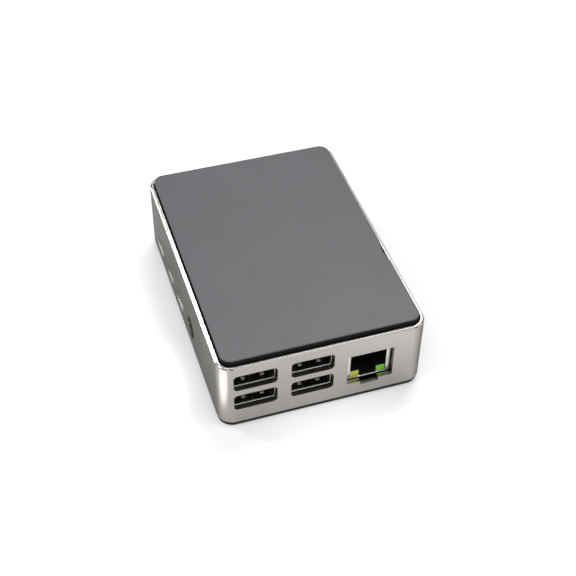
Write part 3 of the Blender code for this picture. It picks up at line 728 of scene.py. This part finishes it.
def usb_stack(side):
    """Folded shell with rolled mouths, springs in each floor, tongues and their contacts."""
    low, high = span("usb_shell_" + side)
    x, front = (low.x + high.x) / 2, low.y
    tools, springs, contacts, tongues = [], [], [], []
    for z in USB_CENTRES_Z:
        tools.append(usb_mouth(x, z, front, high.y))
        floor = z - USB_MOUTH_H / 2
        for offset in USB_SPRING_X:
            tools.append(box(around(x + offset, USB_WINDOW_W), beyond(front, *USB_WINDOW_Y),
                             beyond(floor, *USB_WINDOW_Z)))
            springs.append(usb_spring(x + offset, front, floor))
        top = z + USB_MOUTH_H / 2 - USB_TONGUE_ABOVE
        bottom = top - USB_TONGUE_THICK
        tongue = box(around(x, USB_TONGUE_W), (front + USB_TONGUE_FRONT, high.y - USB_TONGUE_BACK),
                     (bottom, top))
        tongues.append(soften(tongue, USB_TONGUE_EDGE))
        for offset in USB_CONTACT_X:
            contacts.append(box(around(x + offset, USB_CONTACT_W), beyond(front, *USB_CONTACT_Y),
                                beyond(bottom, *USB_CONTACT_Z)))
    step_top = USB_CENTRES_Z[0] - USB_MOUTH_H / 2 - USB_LIP
    tools.append(box((low.x - CUT_PAST, high.x + CUT_PAST), beyond(front, -CUT_PAST, USB_STEP_DEPTH),
                     (low.z - CUT_PAST, step_top)))
    outline = rounded(high.x - low.x, high.z - low.z, USB_CORNER, (x, (low.z + high.z) / 2),
                      SMALL_CORNER_STEPS)
    shell = cut(prism(outline, front, high.y, "Y"), *tools)
    back = box(around(x, USB_BLOCK_W), beyond(high.y, *USB_BLOCK_Y),
               (low.z + USB_BLOCK_BELOW, high.z - USB_BLOCK_ABOVE))
    place(shell, "usb_frame_" + side, [STEEL], "case", ["usb_shell_" + side])
    block = gather([back, *tongues])
    place(block, "usb_insert_" + side, [MOULDED], "case", ["usb_tongues_" + side])
    place(gather(springs), "usb_springs_" + side, [SPRING], "case", ())
    place(gather(contacts), "usb_contacts_" + side, [GOLD], "case", ())


# ---------------------------------------------------------------- network jack

NET_LOW, NET_HIGH = span("network_shell")
NET_X, NET_FRONT = middle("network_shell").x, NET_LOW.y
NET_CORNER = 0.35
NET_BEZEL_W, NET_BEZEL_H, NET_BEZEL_Z = 14.62, 12.3, 13.3
NET_BEZEL_ROUND, NET_BEZEL_THICK = 0.2, 0.9

# Mouth of the shell, and the (extra width, depth) pairs of its rolled edge
NET_MOUTH_W, NET_MOUTH_Z, NET_MOUTH_CORNER = 11.7, (7.72, 17.8), 0.2
NET_MOUTH_EDGE = ((0.3, -0.5), (0.3, 0), (0.08, 0.06), (0, 0.2), (0, 1))
NET_TAB_X, NET_TAB_W, NET_TAB_Y, NET_TAB_Z = 3.05, 0.64, (0.02, 0.28), (7.5, 8.2)

# Insert: its body's gaps to the shell, its front plate, and its hollows for the plug and the latch
NET_BLOCK_GAP, NET_BLOCK_FRONT, NET_BLOCK_BACK = 0.5, 1.3, 0.4
NET_PLATE_W, NET_PLATE_Y, NET_PLATE_Z = 13.5, (0.32, 2.0), (7.6, 19.1)
NET_PLUG_DEPTH, NET_PLUG_BOTTOM = 15.0, 10.3
NET_LATCH_W, NET_LATCH_DEPTH, NET_LATCH_Z = 5.4, 13.0, (7.82, 11.5)

# Contact wires: (depth, height) pairs of one wire
NET_WIRES, NET_WIRE_PITCH, NET_WIRE_W, NET_WIRE_THICK = 8, 1.02, 0.4, 0.25
NET_WIRE_PATH = ((13, 17.3), (6, 17.2), (4.6, 16.9), (9.5, 14.6), (12.5, 13.6))

LAMP_X = 4.3
LAMP_W, LAMP_Y, LAMP_Z, LAMP_EDGE = 2.8, (0.4, 11.0), (7.65, 10.12), 0.12
LAMP_POCKET_W, LAMP_POCKET_DEPTH, LAMP_POCKET_Z = 2.86, 12.0, (7.6, 10.17)


def network_frame():
    """Metal tube with a wider, rounded bezel, and two small tabs beside the latch."""
    levels = []
    for along, across in quarter_arc():
        trim = 2 * NET_BEZEL_ROUND * (1 - along)
        bezel = rounded(NET_BEZEL_W - trim, NET_BEZEL_H - trim, NET_CORNER, (NET_X, NET_BEZEL_Z),
                        SMALL_CORNER_STEPS)
        levels.append((bezel, NET_FRONT + NET_BEZEL_ROUND * across))
    tube = rounded(NET_HIGH.x - NET_LOW.x, NET_HIGH.z - NET_LOW.z, NET_CORNER,
                   (NET_X, (NET_LOW.z + NET_HIGH.z) / 2), SMALL_CORNER_STEPS)
    bezel_back = NET_FRONT + NET_BEZEL_THICK
    shell = loft(levels + [(bezel, bezel_back), (tube, bezel_back), (tube, NET_HIGH.y)], "Y")
    inside = box(*[(low + SHEET, high - SHEET) for low, high in zip(NET_LOW, NET_HIGH)])
    mouth_at = (NET_X, (NET_MOUTH_Z[0] + NET_MOUTH_Z[1]) / 2)
    mouth_h = NET_MOUTH_Z[1] - NET_MOUTH_Z[0]
    mouth = [(rounded(NET_MOUTH_W + grow, mouth_h + grow, NET_MOUTH_CORNER, mouth_at, steps=3),
              NET_FRONT + depth) for grow, depth in NET_MOUTH_EDGE]
    cut(shell, inside, loft(mouth, "Y"))
    join(shell, *[box(around(NET_X + side * NET_TAB_X, NET_TAB_W), beyond(NET_FRONT, *NET_TAB_Y), NET_TAB_Z)
                  for side in SIDES])
    place(shell, "network_frame", [STEEL], "case", ["network_shell"])


def network_insert():
    """Black block with hollows for the plug, its latch and the two lamps."""
    block = box((NET_LOW.x + NET_BLOCK_GAP, NET_HIGH.x - NET_BLOCK_GAP),
                (NET_FRONT + NET_BLOCK_FRONT, NET_HIGH.y - NET_BLOCK_BACK),
                (NET_LOW.z + NET_BLOCK_GAP, NET_HIGH.z - NET_BLOCK_GAP))
    join(block, box(around(NET_X, NET_PLATE_W), beyond(NET_FRONT, *NET_PLATE_Y), NET_PLATE_Z))
    plug = box(around(NET_X, NET_MOUTH_W), beyond(NET_FRONT, -CUT_PAST, NET_PLUG_DEPTH),
               (NET_PLUG_BOTTOM, NET_MOUTH_Z[1]))
    latch = box(around(NET_X, NET_LATCH_W), beyond(NET_FRONT, -CUT_PAST, NET_LATCH_DEPTH), NET_LATCH_Z)
    pockets = [box(around(NET_X + side * LAMP_X, LAMP_POCKET_W),
                   beyond(NET_FRONT, -CUT_PAST, LAMP_POCKET_DEPTH), LAMP_POCKET_Z) for side in SIDES]
    cut(block, plug, latch, *pockets)
    place(block, "network_block", [MOULDED], "case", ["network_insert"])


def network_contacts():
    """Wires that lean down into the plug's hollow."""
    path = [(NET_FRONT + depth, height) for depth, height in NET_WIRE_PATH]
    wires = [strip(path, NET_WIRE_W, NET_WIRE_THICK, wire_x)
             for wire_x in in_row(NET_WIRES, NET_WIRE_PITCH, NET_X)]
    place(gather(wires), "network_contacts", [GOLD], "case", ())


def network_lamp(side, name, mat):
    lamp = box(around(NET_X + side * LAMP_X, LAMP_W), beyond(NET_FRONT, *LAMP_Y), LAMP_Z)
    place(soften(lamp, LAMP_EDGE), "network_lamp_" + name, [mat], "case", ["network_light_" + name])


# ---------------------------------------------------------------- ports on the long side

LIP, LIP_EDGE, LIP_DEPTH = 0.35, 0.12, 0.65

# Parts inside the flat ports: the first line is measured from the shell's back, all fronts from its mouth
INSERT_REACH, INSERT_GAP, TONGUE_BACK = 1.8, 0.1, 1.2
USBC_FLAT = 0.04  # straight part left between two round corners
USBC_INSERT = (7.6, 1.9, 0.9)  # width, height, corner
USBC_TONGUE, USBC_TONGUE_FRONT, USBC_TONGUE_EDGE = (6.7, 0.7), 1.0, 0.12
USBC_CONTACTS, USBC_CONTACT_PITCH = 12, 0.5
USBC_CONTACT_X, USBC_CONTACT_W, USBC_CONTACT_H = (1.3, 4.8), 0.26, 0.76
VIDEO_SLANT = 0.8
VIDEO_TONGUE, VIDEO_TONGUE_FRONT, VIDEO_TONGUE_EDGE = (4.2, 0.6), 0.9, 0.1

# Round jack. Places along X are measured from the CAD solid's outer face
AUDIO_BODY_FRONT, AUDIO_BODY_H, AUDIO_EDGE = 2.3, 5.4, 0.08
AUDIO_BARREL_FRONT, AUDIO_BARREL_BACK, AUDIO_BARREL_ROUND = 1.7, 4.0, 0.25
AUDIO_FLANGE_R, AUDIO_FLANGE_X = 3.5, (1.95, 2.4)
AUDIO_MOUTH_R, AUDIO_MOUTH_X = 2.15, (-0.5, 1.7)
AUDIO_BORE_R, AUDIO_BORE_FRONT, AUDIO_BORE_BACK = 1.75, 2.1, 1.0
AUDIO_RING_R, AUDIO_RING_HOLE_R, AUDIO_RING_X = 1.74, 1.5, (3.0, 4.5)


def flared_shell(outline, low_x, high_x):
    """Thin tube with a closed back, whose mouth opens into a bright lip."""
    root = low_x + LIP_DEPTH
    outside = [(outline(LIP), low_x), (outline(LIP), low_x + LIP_EDGE),
               (outline(0), root), (outline(0), high_x)]
    inside = [(outline(LIP - LIP_EDGE), low_x - CUT_PAST), (outline(LIP - LIP_EDGE), low_x),
              (outline(-SHEET), root), (outline(-SHEET), high_x - SHEET)]
    shell = cut(loft(outside, "X"), loft(inside, "X"))
    return soften(shell, FINE_EDGE, segments=1, angle=STEEP_EDGE_ANGLE)


def flat_insert(outline, tongue_size, tongue_x, edge, centre, high_x):
    """Plastic block at the back of a flat port, and its tongue."""
    block = prism(outline, high_x - INSERT_REACH, high_x - SHEET - INSERT_GAP, "X")
    tongue = prism(rectangle(*tongue_size, centre), tongue_x, high_x - TONGUE_BACK, "X")
    return gather([block, soften(tongue, edge)])


def usbc_port():
    low, high = span("usbc_shell")
    centre = ((low.y + high.y) / 2, (low.z + high.z) / 2)
    width, height = high.y - low.y, high.z - low.z

    def outline(grow):
        corner = (height - USBC_FLAT) / 2 + grow
        return rounded(width + 2 * grow, height + 2 * grow, corner, centre, steps=12)

    place(flared_shell(outline, low.x, high.x), "usbc_frame", [STEEL], "case", ["usbc_shell"])
    insert = flat_insert(rounded(*USBC_INSERT, centre, steps=8), USBC_TONGUE, low.x + USBC_TONGUE_FRONT,
                         USBC_TONGUE_EDGE, centre, high.x)
    place(insert, "usbc_insert", [MOULDED], "case", ["usbc_tongue"])
    contact_x, contact_z = beyond(low.x, *USBC_CONTACT_X), around(centre[1], USBC_CONTACT_H)
    strips = [box(contact_x, around(y, USBC_CONTACT_W), contact_z)
              for y in in_row(USBC_CONTACTS, USBC_CONTACT_PITCH, centre[0])]
    place(gather(strips), "usbc_contacts", [GOLD], "case", ())


def video_outline(width, height, centre):
    """Rectangle whose lower corners are cut off."""
    w, h = width / 2, height / 2
    corners = ((-w + VIDEO_SLANT, -h), (w - VIDEO_SLANT, -h), (w, -h + VIDEO_SLANT), (w, h), (-w, h),
               (-w, -h + VIDEO_SLANT))
    return [(centre[0] + a, centre[1] + b) for a, b in corners]


def video_port(number):
    node = "video_shell_%d" % number
    low, high = span(node)
    centre = ((low.y + high.y) / 2, (low.z + high.z) / 2)

    def outline(grow):
        return video_outline(high.y - low.y + 2 * grow, high.z - low.z + 2 * grow, centre)

    place(flared_shell(outline, low.x, high.x), "video_frame_%d" % number, [STEEL], "case", [node])
    insert = flat_insert(outline(-SHEET - INSERT_GAP), VIDEO_TONGUE, low.x + VIDEO_TONGUE_FRONT,
                         VIDEO_TONGUE_EDGE, centre, high.x)
    place(insert, "video_insert_%d" % number, [MOULDED], "case",
          ["video_tongue_%d" % number])


def audio_port():
    """Block with a round barrel, a flange behind the case's hole, and a spring ring in the bore."""
    low, high = span("audio_jack")
    axis = audio_axis()
    body = box((low.x + AUDIO_BODY_FRONT, high.x), (low.y, high.y), (low.z, low.z + AUDIO_BODY_H))
    barrel = [(circle(AUDIO_BARREL_R - AUDIO_BARREL_ROUND * (1 - along), axis),
               low.x + AUDIO_BARREL_FRONT + AUDIO_BARREL_ROUND * across) for along, across in quarter_arc()]
    barrel.append((circle(AUDIO_BARREL_R, axis), low.x + AUDIO_BARREL_BACK))
    flange = prism(circle(AUDIO_FLANGE_R, axis), *beyond(low.x, *AUDIO_FLANGE_X), "X")
    join(body, loft(barrel, "X"), flange)
    bore = [(circle(AUDIO_MOUTH_R, axis), x) for x in beyond(low.x, *AUDIO_MOUTH_X)]
    bore += [(circle(AUDIO_BORE_R, axis), x) for x in (low.x + AUDIO_BORE_FRONT, high.x - AUDIO_BORE_BACK)]
    cut(body, loft(bore, "X"))
    soften(body, AUDIO_EDGE, angle=STEEP_EDGE_ANGLE)
    place(body, "audio_socket", [MOULDED], "case", ["audio_jack"])
    ring_x = beyond(low.x, *AUDIO_RING_X)
    ring = prism(circle(AUDIO_RING_R, axis), *ring_x, "X")
    cut(ring, prism(circle(AUDIO_RING_HOLE_R, axis), ring_x[0] - CUT_PAST, ring_x[1] + CUT_PAST, "X"))
    place(ring, "audio_contact", [SPRING], "case", ())


# ---------------------------------------------------------------- inside

PIN_PITCH, PIN_BASE_CORNER = 2.54, 0.5
PIN_W, PIN_TIP_W, PIN_TIP_L, PIN_BELOW = 0.64, 0.25, 0.5, 0.2

CARD_SHOULDER, CARD_SLANT, CARD_EDGE = 9.0, 1.2, 0.12
CARD_GROOVE_Y, CARD_GROOVE_DEPTH = (-1.6, -1.0), 0.12
CARD_PADS, CARD_PAD_PITCH, CARD_PAD_X = 8, 1.1, (1.0, 1.8)
CARD_PAD_Y, CARD_PAD_Z = (0.6, 3.4), (-0.02, 0.1)

# CAD nodes that keep their shape
LOOKS = {
    "main_board": BOARD, "processor": STEEL, "thermal_pad": PAD, "memory_chip": CHIP, "usb_controller": CHIP,
    "network_controller": CHIP, "power_chip": CHIP, "wireless_shield": STEEL, "inductor_1": FERRITE,
    "inductor_2": FERRITE, "inductor_3": FERRITE, "crystal": STEEL, "power_light": RED,
    "activity_light": GREEN, "card_socket": STEEL, "camera_connector": CREAM, "display_connector": CREAM,
    "camera_latch": MOULDED, "display_latch": MOULDED,
}


def header(node, columns, rows):
    """Base of small blocks, and square pins with pointed tips."""
    low, high = span(node)
    blocks, pins = [], []
    for x in in_row(rows, PIN_PITCH, (low.x + high.x) / 2):
        for y in in_row(columns, PIN_PITCH, (low.y + high.y) / 2):
            block = rounded(PIN_PITCH, PIN_PITCH, PIN_BASE_CORNER, (x, y), steps=1)
            blocks.append(prism(block, low.z, low.z + PIN_PITCH))
            pin, tip = rectangle(PIN_W, PIN_W, (x, y)), rectangle(PIN_TIP_W, PIN_TIP_W, (x, y))
            pins.append(loft([(pin, low.z - PIN_BELOW), (pin, high.z - PIN_TIP_L), (tip, high.z)]))
    place(gather(blocks), node + "_block", [MOULDED], "case", [node])
    place(gather(pins), node + "_pins", [GOLD], "case", ())


def card():
    """Memory card with one narrower shoulder, a finger groove and contacts below."""
    low, high = span("memory_card")
    shoulder, narrow_x = high.y - CARD_SHOULDER, high.x - CARD_SLANT
    outline = [(low.x, high.y), (high.x, high.y), (high.x, shoulder), (narrow_x, shoulder - CARD_SLANT),
               (narrow_x, low.y), (low.x, low.y)]
    groove = box((low.x - CUT_PAST, high.x + CUT_PAST), beyond(high.y, *CARD_GROOVE_Y),
                 beyond(high.z, -CARD_GROOVE_DEPTH, CUT_PAST))
    body = cut(prism(outline, low.z, high.z), groove)
    soften(body, CARD_EDGE, angle=STEEP_EDGE_ANGLE)
    place(body, "card", [CARD], "memory_card", ["memory_card"])
    pads = [box(beyond(low.x + number * CARD_PAD_PITCH, *CARD_PAD_X), beyond(low.y, *CARD_PAD_Y),
                beyond(low.z, *CARD_PAD_Z)) for number in range(CARD_PADS)]
    place(gather(pads), "card_contacts", [GOLD], "memory_card", ())


def repaint_nodes():
    for node, mat in LOOKS.items():
        obj = frame["nodes"][node]
        obj.data.materials.clear()
        obj.data.materials.append(mat)


# ---------------------------------------------------------------- studio

def floor_light_and_painted_pools(paint):
    """The floor's even light plus its painted pools of light, each fading from its core to its edge."""
    even = paint.tree.nodes.new("ShaderNodeValue")
    even.outputs["Value"].default_value = FLOOR_LIGHT
    light = even.outputs["Value"]
    # Each pool is painted light: a round patch where the floor glows brighter than its even light
    for x, y, radius, brightness in PAINTED_LIGHT_POOLS:
        distance = paint.tree.nodes.new("ShaderNodeVectorMath")
        distance.operation = "DISTANCE"
        distance.inputs[1].default_value = (x * MM, y * MM, 0)
        paint.tree.links.new(paint.coords, distance.inputs[0])
        glow = paint.spread(distance.outputs["Value"], brightness, 0, radius * MM * POOL_CORE, radius * MM)
        glow.node.interpolation_type = "SMOOTHSTEP"
        total = paint.tree.nodes.new("ShaderNodeMath")
        paint.tree.links.new(light, total.inputs[0])
        paint.tree.links.new(glow, total.inputs[1])
        light = total.outputs["Value"]
    return light


def light_up(paint, strength):
    """Let a paper glow, by a strength that varies over it."""
    paint.shader.inputs["Emission Color"].default_value = (*WHITE, 1)
    paint.tree.links.new(strength, paint.shader.inputs["Emission Strength"])
    paint.mat.cycles.emission_sampling = "NONE"


def floor():
    """White paper on a light table: it glows a little, and painted pools of light make it glow more where the
    walls reflect them.
    """
    paint = Paint("floor_paper", (0.86, 0.86, 0.86), roughness=0.9, Specular_IOR_Level=0.0)
    paint.tint(paint.noise(size_mm=60, detail=2), amount=0.004)
    light_up(paint, floor_light_and_painted_pools(paint))
    bm = bmesh.new()
    bmesh.ops.create_grid(bm, x_segments=4, y_segments=4, size=FLOOR_SIZE / 2)
    obj = object_from(bm, "floor")
    obj.data.materials.append(paint.mat)


def backdrop():
    """White paper all round, seen by the camera but casting no light on the object."""
    paint = Paint("backdrop_paper", (0.0, 0.0, 0.0), roughness=1.0, Specular_IOR_Level=0.0)
    light_up(paint, paint.spread(paint.noise(size_mm=500, detail=1), *BACKDROP_LIGHT))
    bm = bmesh.new()
    bmesh.ops.create_cone(bm, cap_ends=False, segments=CIRCLE_STEPS, radius1=BACKDROP_R,
                          radius2=BACKDROP_R, depth=2 * BACKDROP_R)
    obj = object_from(bm, "backdrop")
    obj.data.materials.append(paint.mat)
    for kind in ("diffuse", "glossy", "transmission", "volume_scatter", "shadow"):
        setattr(obj, "visible_" + kind, False)


def world():
    surroundings = bpy.data.worlds.new("studio")
    surroundings.use_nodes = True
    background = surroundings.node_tree.nodes["Background"]
    background.inputs["Color"].default_value = (*WHITE, 1)
    background.inputs["Strength"].default_value = SURROUND_LIGHT
    bpy.context.scene.world = surroundings


def soft_box(name, azimuth, elevation, size, brightness, colour):
    """A square light that faces the object. Azimuth runs clockwise seen from above, from +Y towards +X."""
    a, e = math.radians(azimuth), math.radians(elevation)
    out = Vector((math.sin(a) * math.cos(e), math.cos(a) * math.cos(e), math.sin(e)))
    light = bpy.data.lights.new(name, "AREA")
    light.shape = "SQUARE"
    light.size = size * LIGHT_DISTANCE
    light.energy = brightness * math.pi * light.size ** 2
    light.color = colour
    obj = bpy.data.objects.new(name, light)
    obj.location = LIGHT_AIM + out * LIGHT_DISTANCE
    obj.rotation_mode = "QUATERNION"
    obj.rotation_quaternion = (-out).to_track_quat("-Z", "Y")
    bpy.context.scene.collection.objects.link(obj)


def camera():
    """Camera above the port side. Azimuth runs from -Y towards -X; the roll lifts the camera's right side."""
    az, el, roll = (math.radians(angle) for angle in (CAMERA_AZIMUTH, CAMERA_ELEVATION, CAMERA_ROLL))
    back = Vector((-math.sin(az) * math.cos(el), -math.cos(az) * math.cos(el), math.sin(el)))
    level = (-back).cross(Vector((0, 0, 1))).normalized()
    upright = level.cross(-back)
    right = level * math.cos(roll) + upright * math.sin(roll)
    up = upright * math.cos(roll) - level * math.sin(roll)
    aim = Vector((0, 0, CAMERA_AIM_HEIGHT))
    at = aim + back * CAMERA_DISTANCE + right * CAMERA_ACROSS + up * CAMERA_UP
    data = bpy.data.cameras.new("camera")
    data.lens = CAMERA_LENS
    data.sensor_width = CAMERA_SENSOR
    data.clip_start, data.clip_end = CAMERA_NEAR * MM, CAMERA_FAR * MM
    obj = bpy.data.objects.new("camera", data)
    turn = Matrix((right, up, back)).transposed().to_4x4()
    obj.matrix_world = Matrix.Translation(at * MM) @ turn
    bpy.context.scene.collection.objects.link(obj)
    bpy.context.scene.camera = obj


camera()
floor()
backdrop()
world()
for light_name, settings in SOFT_BOXES.items():
    soft_box(light_name, *settings)
bpy.context.scene.view_settings.view_transform = "Standard"

case_shell()
lid_plate()
base_tray()
screws()
for usb_side in ("left", "middle"):
    usb_stack(usb_side)
network_frame()
network_insert()
network_contacts()
network_lamp(-1, "left", YELLOW)
network_lamp(1, "right", GREEN)
usbc_port()
for video_number in (1, 2):
    video_port(video_number)
audio_port()
header("pin_header", columns=20, rows=2)
header("power_header", columns=2, rows=2)
card()
repaint_nodes()
